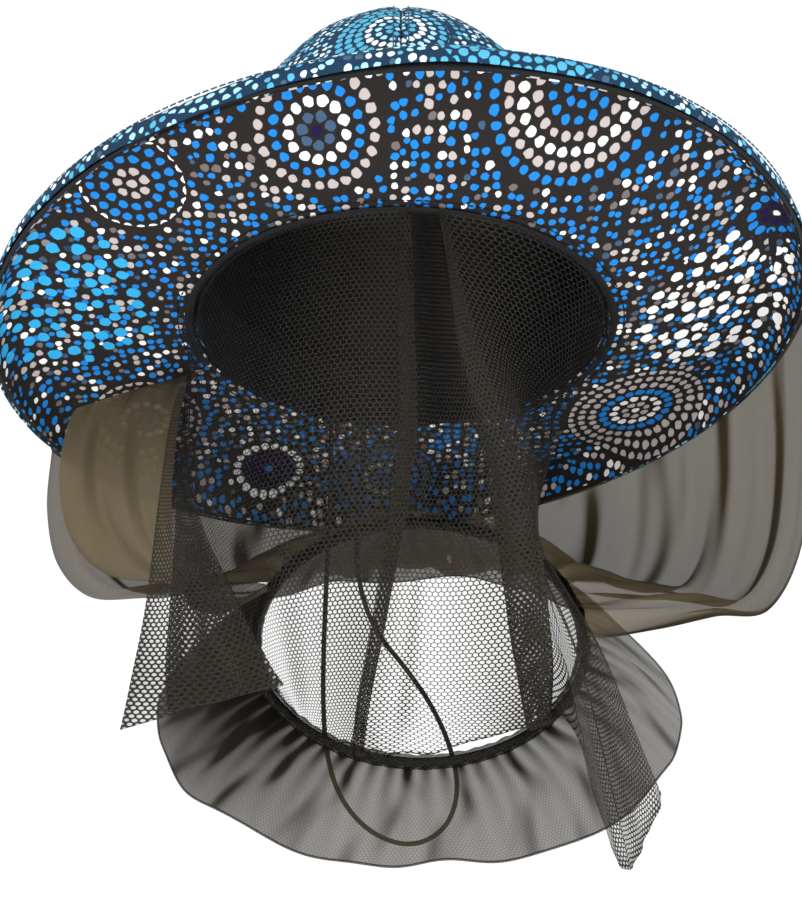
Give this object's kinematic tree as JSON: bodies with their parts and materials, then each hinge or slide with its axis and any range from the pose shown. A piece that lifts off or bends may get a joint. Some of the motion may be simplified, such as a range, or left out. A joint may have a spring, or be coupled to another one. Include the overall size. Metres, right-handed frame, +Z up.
{
  "type": "beekeeping veil",
  "caption": "Wide-brimmed dotted cloth sun hat with a sewn-on black net veil, elastic neck collar, flared net skirt and a chin cord loop.",
  "frame": {"origin": "middle of the head opening, in the plane of the brim's inner edge", "axes": "+Z up with the wearer's head upright, -Y the way the face looks, +X to the right for a viewer facing the wearer; the hat is worn tilted back 24 degrees"},
  "size_m": [0.3482, 0.326, 0.3828],
  "materials": {
    "printed_cotton": "woven cotton print, navy ground with pale cyan and white dots",
    "dotted_cotton": "woven cotton print, charcoal ground with blue, white and grey dots",
    "black_lining": "black woven lining",
    "black_sweatband": "black knitted sweatband",
    "interlining": "stiff off-white interlining",
    "black_tape": "black woven tape",
    "net_binding": "black net folded over and stitched",
    "net": "fine black hexagonal polyester net",
    "elastic": "black braided elastic",
    "cord": "round black braided cord"
  },
  "bodies": {
    "hat": {"crown_panel_1": "printed_cotton", "crown_panel_2": "printed_cotton", "crown_panel_3": "printed_cotton", "crown_panel_4": "printed_cotton", "crown_panel_5": "printed_cotton", "crown_panel_6": "printed_cotton", "crown_lining": "black_lining", "sweatband": "black_sweatband", "brim_top": "printed_cotton", "brim_interlining": "interlining", "brim_underside": "dotted_cotton", "front_binding": "black_tape", "back_binding": "black_tape", "veil_front_panel": "net", "veil_back_panel": "net", "veil_side_gusset": "net", "cord_tab_left": "black_tape", "cord_tab_right": "black_tape", "chin_cord": "cord"},
    "neck_band": {"neck_casing": "net_binding", "neck_elastic": "elastic", "skirt_front": "net", "skirt_back": "net", "skirt_hem": "net_binding"}
  },
  "joints": [
    {"name": "veil_lift", "type": "slide", "parent": "hat", "child": "neck_band", "axis": [0, 0.4067, 0.9135], "range_m": [0, 0.03], "deforming": ["veil_front_panel", "veil_back_panel", "veil_side_gusset"]}
  ]
}
